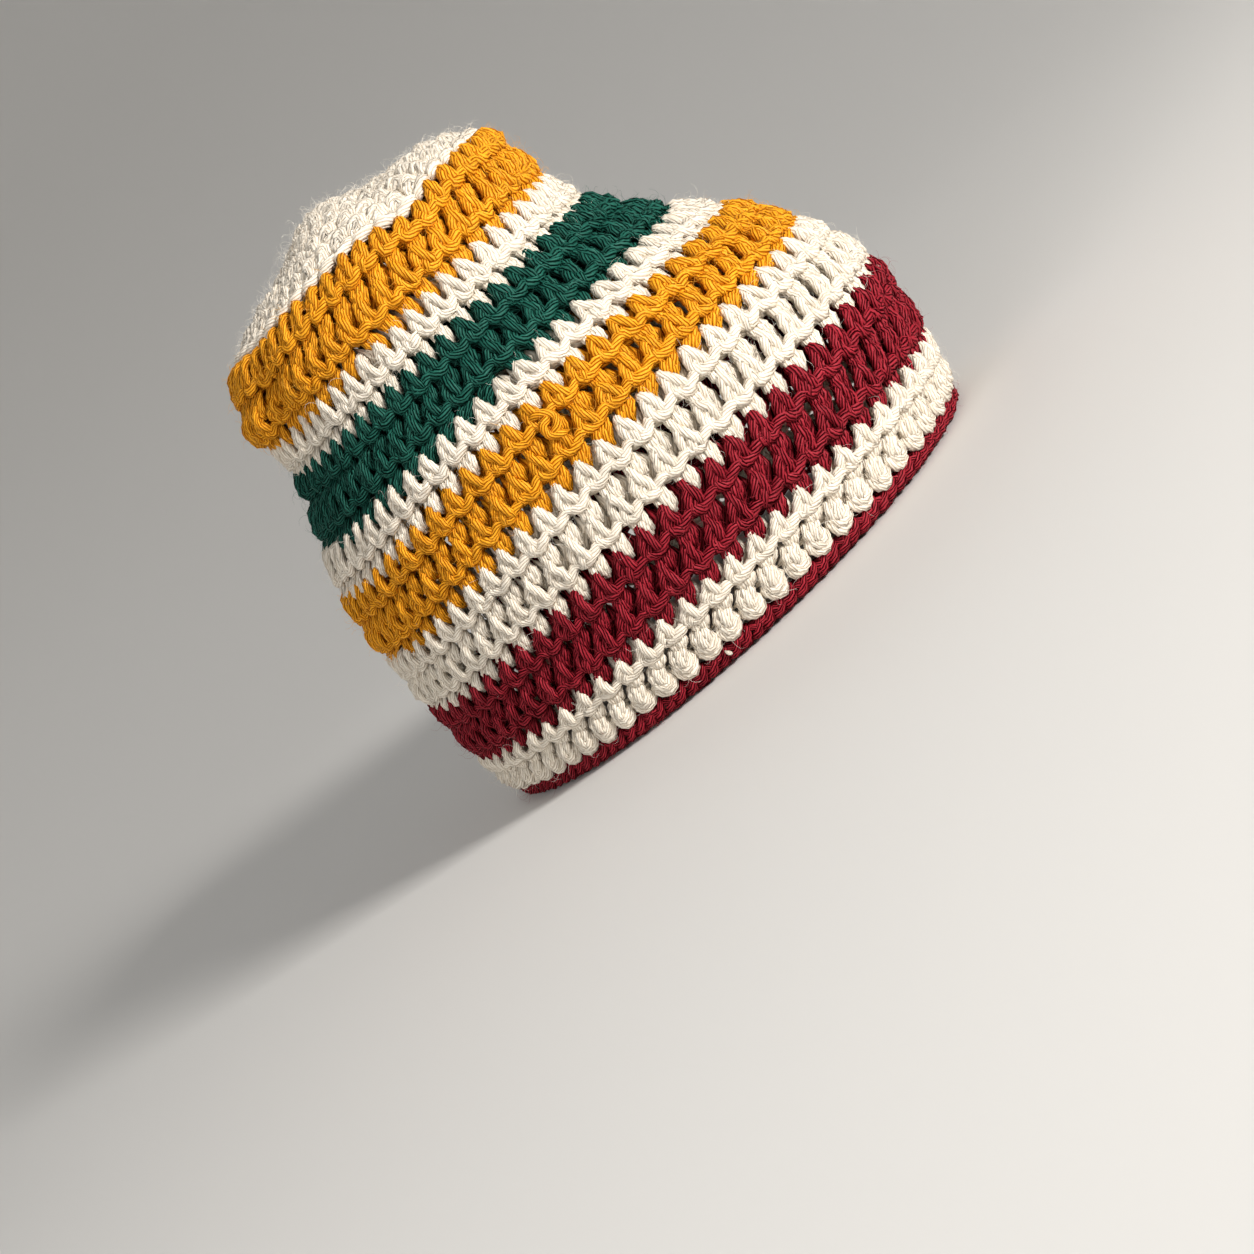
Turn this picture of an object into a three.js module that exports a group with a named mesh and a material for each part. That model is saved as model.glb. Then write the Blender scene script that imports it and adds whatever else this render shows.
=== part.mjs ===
// A crocheted beanie standing on its rim, one solid for each stripe of yarn.
// Millimetres. +Z is up and the rim rests on z = 0, the wearer looks along -Y, and +X is the wearer's left.
import * as THREE from "three";

const wallThickness = 5;
const stripeGap = 0.3;
const stitchesRound = 52;
const ringsPerRow = 3;
const ridgeHeight = 0.6; // how far each row's bar stands out of the wall
const barPlace = 0.45; // where the bar lies in its row, as a share of the row
const probeStep = 0.02; // rows and radians between the points that a normal is worked out from

// Each section is one row of stitches further up. back and front are its reach in millimetres before the
// rim's middle, half is its half width, and the last three are its height at the back, front and sides.
const sections = [
  { row: 0, back: -96.3, front: 96.3, half: 77, zBack: 0, zFront: 0, zSide: 0 },
  { row: 1, back: -97.6, front: 97.6, half: 77.8, zBack: 6.8, zFront: 6.8, zSide: 7.5 },
  { row: 2, back: -98.6, front: 99.3, half: 78.6, zBack: 12.4, zFront: 13.6, zSide: 15 },
  { row: 3, back: -99.1, front: 101.2, half: 79.3, zBack: 18.8, zFront: 21, zSide: 23.5 },
  { row: 4, back: -99.3, front: 103.8, half: 80, zBack: 30, zFront: 35.2, zSide: 36 },
  { row: 5, back: -99.1, front: 104.4, half: 80.2, zBack: 41, zFront: 50.1, zSide: 48.3 },
  { row: 6, back: -98.8, front: 101.5, half: 80, zBack: 51.4, zFront: 63.5, zSide: 62 },
  { row: 7, back: -98.2, front: 95.6, half: 79, zBack: 61.8, zFront: 75.7, zSide: 75.4 },
  { row: 8, back: -97.4, front: 90, half: 77.3, zBack: 73.6, zFront: 85.4, zSide: 86.8 },
  { row: 9, back: -95.8, front: 82.4, half: 74.8, zBack: 86, zFront: 94.9, zSide: 97.8 },
  { row: 10, back: -90, front: 70, half: 70.2, zBack: 101, zFront: 105.6, zSide: 108.1 },
  { row: 11, back: -83.6, front: 59.7, half: 65, zBack: 114, zFront: 116, zSide: 118.2 },
  { row: 12, back: -79.4, front: 50.6, half: 60, zBack: 125, zFront: 127, zSide: 128 },
  { row: 13, back: -78.4, front: 44.8, half: 56.5, zBack: 135.3, zFront: 139.4, zSide: 139.6 },
  { row: 14, back: -80.4, front: 42.8, half: 55.5, zBack: 147.2, zFront: 152.4, zSide: 152.6 },
  { row: 15, back: -71.4, front: 39.4, half: 50.5, zBack: 162.6, zFront: 164.2, zSide: 165.1 },
  { row: 16, back: -61, front: 30.5, half: 43, zBack: 167.2, zFront: 169.6, zSide: 169.8 },
  { row: 17, back: -52.5, front: 23, half: 36, zBack: 170.4, zFront: 173, zSide: 172 },
  { row: 18, back: -43, front: 14, half: 29, zBack: 171.8, zFront: 174, zSide: 173.2 },
  { row: 19, back: -34, front: 5.5, half: 21.8, zBack: 173, zFront: 174.4, zSide: 174 },
  { row: 20, back: -26.5, front: -3, half: 14.5, zBack: 174, zFront: 174.7, zSide: 174.4 },
  { row: 21, back: -20.5, front: -10, half: 7, zBack: 174.5, zFront: 174.8, zSide: 174.6 },
  { row: 22, back: -15, front: -15, half: 0, zBack: 174.7, zFront: 174.7, zSide: 174.7 },
];
const lastRow = sections.length - 1;
const crownRow = 15; // the row where the side has turned over the shoulder into the crown

// Rises and dents of the soft crown: each lifts the wall by lift at its middle, x and forward, and fades
// over the two spreads. rowFrom and rowTo are the rows over which it comes in.
const swells = [
  { x: 0, forward: -20, spreadX: 34, spreadForward: 15, lift: 7.2, rowFrom: 15, rowTo: 17 },
  { x: -50, forward: 3, spreadX: 24, spreadForward: 10, lift: -4, rowFrom: 13.4, rowTo: 15 },
];
// Creases pressed into the side, each by depth at its angle from the front and its row.
const creases = [
  { angle: 142, row: 13.9, spreadAngle: 7, spreadRow: 1.1, depth: 4.5 },
  { angle: 158, row: 14, spreadAngle: 9, spreadRow: 1, depth: -1.5 },
];

const stripes = [
  { name: "rim_edge", from: 0, to: 1, colour: "#80182a" },
  { name: "cream_lowest", from: 1, to: 3, colour: "#ece6d6" },
  { name: "maroon_band", from: 3, to: 5, colour: "#80182a" },
  { name: "cream_lower", from: 5, to: 7, colour: "#ece6d6" },
  { name: "gold_lower", from: 7, to: 9, colour: "#e89e1c" },
  { name: "cream_middle", from: 9, to: 10, colour: "#ece6d6" },
  { name: "green_band", from: 10, to: 12, colour: "#125848" },
  { name: "cream_upper", from: 12, to: 13, colour: "#ece6d6" },
  { name: "gold_upper", from: 13, to: 15, colour: "#e89e1c" },
  { name: "crown_top", from: 15, to: lastRow, colour: "#ece6d6" },
];

function smooth(low, high, value) {
  const share = THREE.MathUtils.clamp((value - low) / (high - low), 0, 1);
  return share * share * (3 - 2 * share);
}

// One column of the table at any row, on a curve through its values.
function column(key, row) {
  const at = THREE.MathUtils.clamp(Math.floor(row), 0, lastRow - 1);
  const value = (i) => {
    if (i < 0) return 2 * sections[0][key] - sections[1][key];
    if (i > lastRow) return 2 * sections[lastRow][key] - sections[lastRow - 1][key];
    return sections[i][key];
  };
  const [a, b, c, d] = [value(at - 1), value(at), value(at + 1), value(at + 2)];
  const t = row - at;
  const bend = 2 * a - 5 * b + 4 * c - d + t * (3 * b - a - 3 * c + d);
  return b + 0.5 * t * (c - a + t * bend);
}

// The middle of the wall's outer face, without the ridges. angle 0 is the front and runs to the right side.
function outlinePoint(row, angle) {
  const back = column("back", row);
  const front = column("front", row);
  const turn = Math.cos(angle);
  const forward = (front + back) / 2 + ((front - back) / 2) * turn;
  const x = -column("half", row) * Math.sin(angle);
  const ends = (column("zFront", row) + column("zBack", row)) / 2;
  const side = column("zSide", row);
  const tilt = (column("zFront", row) - column("zBack", row)) / 2;
  let z = side + tilt * turn + (ends - side) * turn * turn;
  for (const s of swells) {
    const away = ((x - s.x) / s.spreadX) ** 2 + ((forward - s.forward) / s.spreadForward) ** 2;
    z += s.lift * Math.exp(-away) * smooth(s.rowFrom, s.rowTo, row);
  }
  return new THREE.Vector3(x, -forward, z);
}

function outlineNormal(row, angle) {
  const middle = Math.min(row, lastRow - 0.3);
  const along = outlinePoint(middle, angle + probeStep).sub(outlinePoint(middle, angle - probeStep));
  const up = outlinePoint(middle + probeStep, angle).sub(outlinePoint(middle - probeStep, angle));
  return up.cross(along).normalize();
}

function creaseDepth(row, angle) {
  let depth = 0;
  for (const c of creases) {
    const turn = (THREE.MathUtils.radToDeg(angle) - c.angle) / c.spreadAngle;
    const rise = (row - c.row) / c.spreadRow;
    depth += c.depth * Math.exp(-turn * turn - rise * rise);
  }
  return depth;
}

// A point of the wall, depth millimetres in from its outer face.
function wallPoint(row, angle, depth) {
  const point = outlinePoint(row, angle);
  const normal = outlineNormal(row, angle);
  if (row <= 0) normal.setZ(0).normalize();
  return point.addScaledVector(normal, -depth - creaseDepth(row, angle));
}

function outerRing(row) {
  const ridge = ridgeHeight * Math.cos(2 * Math.PI * (row - barPlace));
  const depth = row <= 0 || row >= lastRow ? 0 : -ridge;
  return ring(row, depth);
}

function innerRing(row) {
  return ring(row, wallThickness);
}

function ring(row, depth) {
  const points = [];
  for (let i = 0; i < stitchesRound; i++) {
    points.push(wallPoint(row, (2 * Math.PI * i) / stitchesRound, depth));
  }
  return points;
}

// Rows from one stripe's end to the other, kept half a gap away from both neighbours.
function rowsBetween(from, to, steps) {
  const rows = [];
  for (let i = 0; i <= steps; i++) rows.push(from + ((to - from) * i) / steps);
  return rows;
}

// Half a gap, in rows, at a section of the side.
function halfGap(row) {
  const length = outlinePoint(row + 0.5, 0).distanceTo(outlinePoint(row - 0.5, 0));
  return stripeGap / 2 / length;
}

// Joins rings into one closed surface. tips hold the two points that close a crown, outside and inside.
function closedGeometry(rings, tips) {
  const points = rings.flat();
  const index = [];
  const around = stitchesRound;
  const last = tips ? rings.length - 1 : rings.length;
  for (let r = 0; r < last; r++) {
    const below = r * around;
    const above = ((r + 1) % rings.length) * around;
    for (let i = 0; i < around; i++) {
      const next = (i + 1) % around;
      index.push(below + i, above + next, below + next);
      index.push(below + i, above + i, above + next);
    }
  }
  if (tips) {
    const outerTip = points.push(tips.outer) - 1;
    const innerTip = points.push(tips.inner) - 1;
    const end = (rings.length - 1) * around;
    for (let i = 0; i < around; i++) {
      const next = (i + 1) % around;
      index.push(i, next, innerTip);
      index.push(end + i, outerTip, end + next);
    }
  }
  const geometry = new THREE.BufferGeometry();
  geometry.setAttribute("position", new THREE.Float32BufferAttribute(points.flatMap((p) => p.toArray()), 3));
  geometry.setIndex(index);
  geometry.computeVertexNormals();
  return geometry;
}

// A stripe round the head: out along its outer face and back along its inner one.
function stripeGeometry(from, to) {
  const low = from > 0 ? from + halfGap(from) : from;
  const high = to - halfGap(to);
  const outer = rowsBetween(low, high, (to - from) * ringsPerRow).map(outerRing);
  const inner = rowsBetween(high, low, to - from).map(innerRing);
  return closedGeometry([...outer, ...inner]);
}

// The crown's lid: the same wall, closed at its middle.
function crownGeometry(from) {
  const low = from + halfGap(from);
  const end = lastRow - 0.5;
  const steps = Math.round(end - from);
  const inner = rowsBetween(end, low, steps).map(innerRing);
  const outer = rowsBetween(low, end, 2 * steps).map(outerRing);
  const tips = { outer: wallPoint(lastRow, 0, 0), inner: wallPoint(lastRow, 0, wallThickness) };
  return closedGeometry([...inner, ...outer], tips);
}

const hat = new THREE.Group();
for (const stripe of stripes) {
  const isCrown = stripe.from === crownRow;
  const geometry = isCrown ? crownGeometry(stripe.from) : stripeGeometry(stripe.from, stripe.to);
  const material = new THREE.MeshStandardMaterial({ color: stripe.colour, roughness: 0.95, metalness: 0 });
  const mesh = new THREE.Mesh(geometry, material);
  mesh.name = stripe.name;
  hat.add(mesh);
}

// The origin is under the middle of the hat's box, on the surface that the rim rests on.
const box = new THREE.Box3().setFromObject(hat, true);
const middle = box.getCenter(new THREE.Vector3());
hat.position.set(-middle.x, -middle.y, 0);

export default hat;
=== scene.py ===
from math import cos, pi, radians, sin, tau

import bpy
import numpy as np
from mathutils import Matrix, Vector


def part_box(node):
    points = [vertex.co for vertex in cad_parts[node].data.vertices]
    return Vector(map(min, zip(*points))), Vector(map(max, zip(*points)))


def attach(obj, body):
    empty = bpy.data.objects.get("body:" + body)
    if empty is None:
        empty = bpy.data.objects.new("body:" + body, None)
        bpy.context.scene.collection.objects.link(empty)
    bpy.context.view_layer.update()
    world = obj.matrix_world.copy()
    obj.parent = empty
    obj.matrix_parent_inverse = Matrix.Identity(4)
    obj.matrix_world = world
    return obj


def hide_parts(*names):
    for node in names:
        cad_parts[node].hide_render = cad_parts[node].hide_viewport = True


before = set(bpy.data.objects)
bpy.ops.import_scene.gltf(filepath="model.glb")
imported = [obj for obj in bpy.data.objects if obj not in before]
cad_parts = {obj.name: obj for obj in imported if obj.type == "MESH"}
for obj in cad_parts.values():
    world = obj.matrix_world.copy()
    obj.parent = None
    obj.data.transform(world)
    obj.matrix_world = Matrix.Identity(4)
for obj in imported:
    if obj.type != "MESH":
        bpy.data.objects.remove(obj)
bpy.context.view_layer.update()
print("frame loaded:", len(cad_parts), "nodes")

mm = 0.001
random = np.random.default_rng(52)


# The wall that the stitches lie in

wallShape = {
    # one section for each row of stitches, from the rim up, in millimetres from the rim's middle
    "columns": ("back", "front", "half", "zBack", "zFront", "zSide"),
    "sections": [
        (-96.3, 96.3, 77, 0, 0, 0),
        (-97.6, 97.6, 77.8, 6.8, 6.8, 7.5),
        (-98.6, 99.3, 78.6, 12.4, 13.6, 15),
        (-99.1, 101.2, 79.3, 18.8, 21, 23.5),
        (-99.3, 103.8, 80, 30, 35.2, 36),
        (-99.1, 104.4, 80.2, 41, 50.1, 48.3),
        (-98.8, 101.5, 80, 51.4, 63.5, 62),
        (-98.2, 95.6, 79, 61.8, 75.7, 75.4),
        (-97.4, 90, 77.3, 73.6, 85.4, 86.8),
        (-95.8, 82.4, 74.8, 86, 94.9, 97.8),
        (-90, 70, 70.2, 101, 105.6, 108.1),
        (-83.6, 59.7, 65, 114, 116, 118.2),
        (-79.4, 50.6, 60, 125, 127, 128),
        (-78.4, 44.8, 56.5, 135.3, 139.4, 139.6),
        (-80.4, 42.8, 55.5, 147.2, 152.4, 152.6),
        (-71.4, 39.4, 50.5, 162.6, 164.2, 165.1),
        (-61, 30.5, 43, 167.2, 169.6, 169.8),
        (-52.5, 23, 36, 170.4, 173, 172),
        (-43, 14, 29, 171.8, 174, 173.2),
        (-34, 5.5, 21.8, 173, 174.4, 174),
        (-26.5, -3, 14.5, 174, 174.7, 174.4),
        (-20.5, -10, 7, 174.5, 174.8, 174.6),
        (-15, -15, 0, 174.7, 174.7, 174.7),
    ],
    # soft rises and dents: middle, spread, lift in millimetres and the rows over which they come in
    "swells": [
        {"x": 0, "forward": -20, "spreadX": 34, "spreadForward": 15, "lift": 7.2, "rows": (15, 17)},
        {"x": -50, "forward": 3, "spreadX": 24, "spreadForward": 10, "lift": -4, "rows": (13.4, 15)},
    ],
    # creases pressed into the side, at an angle from the front in degrees
    "creases": [
        {"angle": 142, "row": 13.9, "spreadAngle": 7, "spreadRow": 1.1, "depth": 4.5},
        {"angle": 158, "row": 14, "spreadAngle": 9, "spreadRow": 1, "depth": -1.5},
    ],
    "middleDepth": 2.6,  # from the wall's outer face to the middle of the yarn layer
    "poleGap": 0.3,  # rows under the crown's middle from which its slope is taken
    # stitches in each round from the rim to the middle of the crown
    "stitches": [60] * 7 + [57] * 3 + [52] * 3 + [48, 48, 42, 37, 31, 24, 17, 11, 6],
    "stretch": 0.14,  # stitches are this much wider in front and narrower behind
    "drift": 0.2,  # how far each row's stitches lie to the right of the row below, in stitches
}
lastRow = len(wallShape["sections"]) - 1


def smoothStep(low, high, value):
    share = np.clip((value - low) / (high - low), 0, 1)
    return share * share * (3 - 2 * share)


def sectionColumn(name, row):
    values = np.array([s[wallShape["columns"].index(name)] for s in wallShape["sections"]], float)
    values = np.concatenate([[2 * values[0] - values[1]], values, [2 * values[-1] - values[-2]]])
    at = np.clip(np.floor(row).astype(int), 0, lastRow - 1)
    t = row - at
    a, b, c, d = (values[at + i] for i in range(4))
    bend = 2 * a - 5 * b + 4 * c - d + t * (3 * b - a - 3 * c + d)
    return b + 0.5 * t * (c - a + t * bend)


def outlinePoint(row, angle):
    back, front = sectionColumn("back", row), sectionColumn("front", row)
    zBack, zFront, zSide = (sectionColumn(n, row) for n in ("zBack", "zFront", "zSide"))
    turn = np.cos(angle)
    forward = (front + back) / 2 + (front - back) / 2 * turn
    x = -sectionColumn("half", row) * np.sin(angle)
    z = zSide + (zFront - zBack) / 2 * turn + ((zFront + zBack) / 2 - zSide) * turn * turn
    for s in wallShape["swells"]:
        away = ((x - s["x"]) / s["spreadX"]) ** 2 + ((forward - s["forward"]) / s["spreadForward"]) ** 2
        z = z + s["lift"] * np.exp(-away) * smoothStep(*s["rows"], row)
    return np.stack([x, -forward, z], -1)


def outlineNormal(row, angle):
    step = 0.02
    row = np.minimum(row, lastRow - wallShape["poleGap"])
    along = outlinePoint(row, angle + step) - outlinePoint(row, angle - step)
    up = outlinePoint(row + step, angle) - outlinePoint(row - step, angle)
    normal = np.cross(up, along)
    return normal / np.linalg.norm(normal, axis=-1, keepdims=True)


def wallPoint(row, angle, depth):
    normal = outlineNormal(row, angle)
    for c in wallShape["creases"]:
        turn = (np.degrees(angle) - c["angle"]) / c["spreadAngle"]
        rise = (row - c["row"]) / c["spreadRow"]
        depth = depth + c["depth"] * np.exp(-turn * turn - rise * rise)
    return outlinePoint(row, angle) - normal * np.broadcast_to(depth, row.shape)[..., None]


# A grid over the wall, whose columns stand closer behind, where the rows are less stretched
gridSizes = {"rows": 440, "columns": 480, "topGap": 0.05, "turns": 1441}
gridRows = np.linspace(0, lastRow - gridSizes["topGap"], gridSizes["rows"])
gridColumns = gridSizes["columns"]


def buildGrid():
    angles = np.linspace(0, tau, gridSizes["turns"])
    points, normals = [], []
    for row in gridRows:
        rows = np.full(angles.shape, row)
        ring = wallPoint(rows, angles, wallShape["middleDepth"])
        steps = np.linalg.norm(np.diff(ring, axis=0), axis=1)
        steps /= 1 + wallShape["stretch"] * np.cos((angles[1:] + angles[:-1]) / 2)
        length = np.concatenate([[0], np.cumsum(steps)])
        wanted = np.linspace(0, length[-1], gridColumns + 1)[:-1]
        even = tau - np.interp(wanted, length, angles)  # columns run to the right, seen from outside
        rows = np.full(even.shape, row)
        points.append(wallPoint(rows, even, wallShape["middleDepth"]))
        normals.append(outlineNormal(rows, even))
    return np.array(points), np.array(normals)


gridPoints, gridNormals = buildGrid()
rimLow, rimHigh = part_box("rim_edge")
rimMiddle = 1000 * (rimLow[1] + rimHigh[1]) / 2  # where the rim's middle lies in the frame
gridPoints[..., 1] += rimMiddle


def onWall(row, turn, out):
    # a point of the wall at a row and a share of the round, out millimetres from the yarn layer's middle
    r = np.clip(row, gridRows[0], gridRows[-1]) / (gridRows[1] - gridRows[0])
    r0 = np.minimum(r.astype(int), len(gridRows) - 2)
    c = turn * gridColumns
    c0 = np.floor(c).astype(int)
    rt, ct = (r - r0)[..., None], (c - c0)[..., None]
    c1 = (c0 + 1) % gridColumns
    c0 = c0 % gridColumns

    def mixed(grid):
        low = grid[r0, c0] * (1 - ct) + grid[r0, c1] * ct
        high = grid[r0 + 1, c0] * (1 - ct) + grid[r0 + 1, c1] * ct
        return low * (1 - rt) + high * rt

    normal = mixed(gridNormals)
    normal /= np.linalg.norm(normal, axis=-1, keepdims=True)
    return mixed(gridPoints) + normal * np.asarray(out)[..., None], normal


print("wall grid ready")


# Stitches: each strand is a path of (across in stitches, up in rows, out in mm, thickness)

stitchPaths = {
    "barPlace": 0.45,  # the bar's height in its row
    "strands": {
        "frontLoop": {
            # down the left of the finger, then along the bar, whose end lies over the next finger's foot
            "steps": 19,
            "path": [
                (0.02, 0.80, -1.8, 0.0), (-0.02, 0.74, 0.2, 0.95), (-0.10, 0.61, 1.6, 1.08),
                (-0.20, 0.43, 2.0, 1.13), (-0.24, 0.26, 1.8, 1.12), (-0.16, 0.12, 1.7, 1.13),
                (0.01, 0.04, 1.7, 1.18), (0.19, 0.02, 1.8, 1.2), (0.37, 0.07, 1.9, 1.18),
                (0.55, 0.14, 1.9, 1.12), (0.70, 0.18, 1.9, 1.06), (0.83, 0.13, 1.8, 0.96),
                (0.93, 0.0, 1.4, 0.8), (0.98, -0.10, -0.2, 0.0),
            ],
        },
        "post": {
            "steps": 10,
            "path": [
                (-0.02, 0.82, -1.8, 0.0), (-0.05, 0.76, 0.6, 1.0), (0.01, 0.63, 2.1, 1.12),
                (0.11, 0.45, 2.4, 1.17), (0.18, 0.28, 2.0, 1.12), (0.22, 0.14, 1.4, 1.05),
                (0.25, 0.02, -0.8, 0.0),
            ],
            # in some stitches this strand ends over the bar instead
            "other": [
                (-0.02, 0.82, -1.8, 0.0), (-0.06, 0.76, 0.6, 1.0), (-0.02, 0.63, 2.2, 1.12),
                (0.10, 0.45, 2.7, 1.15), (0.20, 0.28, 2.8, 1.08), (0.28, 0.09, 2.9, 0.95),
                (0.35, -0.09, 0.6, 0.0),
            ],
            "share": 0.35,
        },
        "heart": {
            "steps": 9,
            "path": [
                (0.0, 0.79, -1.8, 0.0), (0.02, 0.71, -0.1, 1.0), (0.03, 0.57, 0.8, 1.1),
                (-0.02, 0.40, 1.2, 1.12), (-0.06, 0.24, 1.2, 1.07), (-0.04, 0.12, 0.9, 1.0),
                (0.0, -0.02, -0.6, 0.0),
            ],
            "other": [
                (0.0, 0.79, -1.8, 0.0), (0.05, 0.71, 0.0, 1.0), (0.10, 0.57, 1.0, 1.1),
                (0.08, 0.40, 1.4, 1.08), (0.0, 0.24, 2.1, 1.02), (-0.06, 0.07, 2.7, 0.92),
                (-0.08, -0.13, 0.5, 0.0),
            ],
            "share": 0.25,
        },
        "legLeft": {
            "steps": 6,
            "path": [
                (0.02, 0.05, -0.8, 0.0), (-0.07, -0.12, 0.7, 1.0), (-0.15, -0.29, 0.8, 1.05),
                (-0.13, -0.46, 0.2, 1.0), (-0.06, -0.59, -1.5, 0.0),
            ],
        },
        "legMiddle": {
            "steps": 6,
            "path": [
                (0.23, 0.06, -0.8, 0.0), (0.15, -0.13, 0.9, 1.03), (0.05, -0.32, 1.1, 1.08),
                (0.0, -0.52, 0.3, 1.0), (0.02, -0.66, -1.5, 0.0),
            ],
        },
        "legRight": {
            "steps": 6,
            "path": [
                (0.45, 0.08, -0.8, 0.0), (0.37, -0.09, 0.7, 1.0), (0.26, -0.27, 0.8, 1.05),
                (0.13, -0.45, 0.2, 1.0), (0.07, -0.59, -1.5, 0.0),
            ],
        },
        "backBar": {
            "steps": 4,
            "path": [
                (-0.58, 0.02, -1.3, 0.0), (-0.25, 0.06, -1.6, 1.0), (0.25, 0.0, -1.6, 1.0),
                (0.58, 0.04, -1.3, 0.0),
            ],
        },
        "backPostLeft": {
            "steps": 4,
            "path": [
                (0.18, -0.06, -1.3, 0.0), (0.34, 0.25, -2.1, 1.35), (0.32, 0.62, -2.1, 1.35),
                (0.10, 0.98, -1.3, 0.0),
            ],
        },
        "backPostRight": {
            "steps": 4,
            "path": [
                (0.50, -0.06, -1.3, 0.0), (0.58, 0.25, -2.4, 1.35), (0.62, 0.62, -2.4, 1.35),
                (0.55, 0.98, -1.3, 0.0),
            ],
        },
    },
}

bumpPaths = {
    "barPlace": 0.0,
    "strands": {
        "knob": {
            "steps": 12,
            "path": [
                (-0.22, 0.74, -1.0, 0.0), (-0.35, 0.46, 0.4, 1.0), (-0.33, 0.16, 1.1, 1.15),
                (-0.15, -0.05, 1.6, 1.28), (0.10, -0.06, 1.6, 1.28), (0.30, 0.14, 1.1, 1.15),
                (0.36, 0.44, 0.4, 1.0), (0.26, 0.72, -1.0, 0.0),
            ],
        },
        "inner": {
            "steps": 9,
            "path": [
                (-0.26, 0.86, -0.6, 0.0), (-0.24, 0.52, 1.2, 1.1), (-0.08, 0.20, 2.2, 1.22),
                (0.12, 0.18, 2.3, 1.22), (0.26, 0.50, 1.2, 1.1), (0.26, 0.88, -0.8, 0.0),
            ],
        },
        "fanLeft": {
            "steps": 6,
            "path": [
                (-0.02, 1.28, -1.0, 0.0), (-0.11, 1.0, 0.7, 1.05), (-0.19, 0.68, 1.7, 1.1),
                (-0.14, 0.38, 2.1, 0.9), (-0.06, 0.18, 0.8, 0.0),
            ],
        },
        "fanMiddle": {
            "steps": 7,
            "path": [
                (0.12, 1.3, -1.0, 0.0), (0.09, 1.0, 1.0, 1.05), (0.03, 0.68, 2.2, 1.15),
                (0.02, 0.38, 2.8, 1.0), (0.04, 0.12, 1.6, 0.0),
            ],
        },
        "fanRight": {
            "steps": 6,
            "path": [
                (0.28, 1.28, -1.0, 0.0), (0.29, 1.0, 0.7, 1.05), (0.25, 0.68, 1.6, 1.1),
                (0.17, 0.38, 2.0, 0.9), (0.10, 0.18, 0.8, 0.0),
            ],
        },
        "backBar": {
            "steps": 4,
            "path": [
                (-0.58, 0.6, -1.2, 0.0), (-0.25, 0.66, -1.5, 1.0), (0.25, 0.6, -1.5, 1.0),
                (0.58, 0.64, -1.2, 0.0),
            ],
        },
    },
}

crownPaths = {
    "barPlace": 0.45,
    "strands": {
        "arch": {
            "steps": 12,
            "path": [
                (-0.36, -0.05, -1.0, 0.0), (-0.40, 0.20, 0.6, 1.0), (-0.34, 0.52, 1.9, 1.25),
                (-0.10, 0.80, 2.8, 1.4), (0.18, 0.74, 2.7, 1.35), (0.36, 0.45, 1.7, 1.15),
                (0.42, 0.12, -0.8, 0.0),
            ],
        },
        "middle": {
            "steps": 9,
            "path": [
                (-0.22, 0.0, -0.6, 0.0), (-0.18, 0.24, 1.4, 1.15), (-0.02, 0.52, 2.6, 1.35),
                (0.17, 0.36, 2.1, 1.25), (0.24, 0.10, 0.8, 1.0), (0.20, -0.06, -0.8, 0.0),
            ],
        },
        "foot": {
            "steps": 10,
            "path": [
                (-0.55, -0.16, -0.8, 0.0), (-0.36, -0.10, 0.9, 1.1), (-0.08, -0.06, 1.6, 1.25),
                (0.22, 0.0, 1.9, 1.25), (0.46, 0.12, 1.2, 1.05), (0.58, 0.20, -0.6, 0.0),
            ],
        },
        "backBar": {
            "steps": 4,
            "path": [
                (-0.58, 0.35, -0.8, 0.0), (-0.25, 0.40, -1.0, 1.3), (0.25, 0.34, -1.0, 1.3),
                (0.58, 0.38, -0.8, 0.0),
            ],
        },
    },
}

edgePaths = {
    "barPlace": 0.0,
    "strands": {
        "chainLeft": {
            "steps": 8,
            "path": [
                (-0.52, 0.22, -0.8, 0.0), (-0.40, 0.24, 0.6, 0.95), (-0.20, 0.32, 1.2, 1.05),
                (-0.02, 0.56, 1.1, 1.0), (0.10, 0.76, 0.2, 0.85), (0.15, 0.84, -1.2, 0.0),
            ],
        },
        "chainRight": {
            "steps": 8,
            "path": [
                (-0.02, 0.22, -0.8, 0.0), (0.10, 0.24, 0.6, 0.95), (0.30, 0.32, 1.2, 1.05),
                (0.48, 0.56, 1.1, 1.0), (0.60, 0.76, 0.2, 0.85), (0.65, 0.84, -1.2, 0.0),
            ],
        },
        "under": {
            "steps": 8,
            "path": [
                (-0.55, 0.62, -0.7, 0.0), (-0.35, 0.60, 0.2, 0.9), (-0.05, 0.50, 0.6, 1.0),
                (0.25, 0.56, 0.5, 1.0), (0.50, 0.76, -0.5, 0.0),
            ],
        },
        "tooth": {
            "steps": 6,
            "path": [
                (0.34, 0.5, -0.6, 0.0), (0.42, 0.85, 0.3, 0.85), (0.48, 1.25, 0.3, 0.85),
                (0.52, 1.55, -0.8, 0.0),
            ],
        },
        "sole": {
            "steps": 6,
            "path": [
                (-0.60, 0.19, -0.3, 0.0), (-0.3, 0.19, -0.6, 1.0), (0.0, 0.19, -0.8, 1.0),
                (0.3, 0.19, -0.6, 1.0), (0.60, 0.19, -0.3, 0.0),
            ],
        },
        "backBar": {
            "steps": 6,
            "path": [
                (-0.60, 0.6, -1.1, 0.0), (-0.3, 0.64, -1.4, 1.0), (0.0, 0.58, -1.5, 1.0),
                (0.3, 0.64, -1.4, 1.0), (0.60, 0.6, -1.1, 0.0),
            ],
        },
    },
}


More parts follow.
